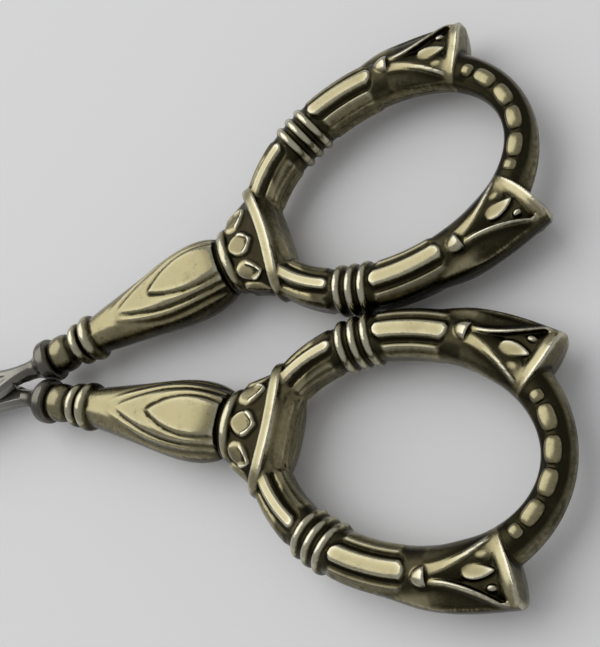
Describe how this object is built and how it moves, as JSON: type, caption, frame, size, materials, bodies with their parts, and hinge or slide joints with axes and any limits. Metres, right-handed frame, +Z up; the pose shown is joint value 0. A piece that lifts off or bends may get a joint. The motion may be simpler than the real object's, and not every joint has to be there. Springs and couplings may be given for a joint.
{
  "type": "sewing scissors",
  "caption": "Small embroidery scissors: slim steel blades on a slotted pivot screw, ornate stamped silver handles with reeded oval finger bows.",
  "frame": {"origin": "middle of the closed scissors' footprint, on the surface that they lie on", "axes": "+X from the blade tips to the finger bows, +Y towards the upper handle, +Z up, away from the surface"},
  "size_m": [0.1134, 0.0506, 0.0062],
  "materials": {
    "steel": "ground and worn, slight rust specks",
    "silver": "aged silver, dark in the recesses, worn bright on the crests",
    "pitch": "matt"
  },
  "bodies": {
    "rear_half": {"rear_blade": "steel", "pivot_screw": "steel", "lower_handle_front_shell": "silver", "lower_handle_back_shell": "silver", "lower_handle_filling": "pitch"},
    "front_half": {"front_blade": "steel", "upper_handle_front_shell": "silver", "upper_handle_back_shell": "silver", "upper_handle_filling": "pitch"}
  },
  "joints": [
    {"name": "pivot", "type": "hinge", "parent": "rear_half", "child": "front_half", "pos_m": [-0.00667, 0, 0.0031], "axis": [0, 0, 1], "range_deg": [0, 75]}
  ]
}
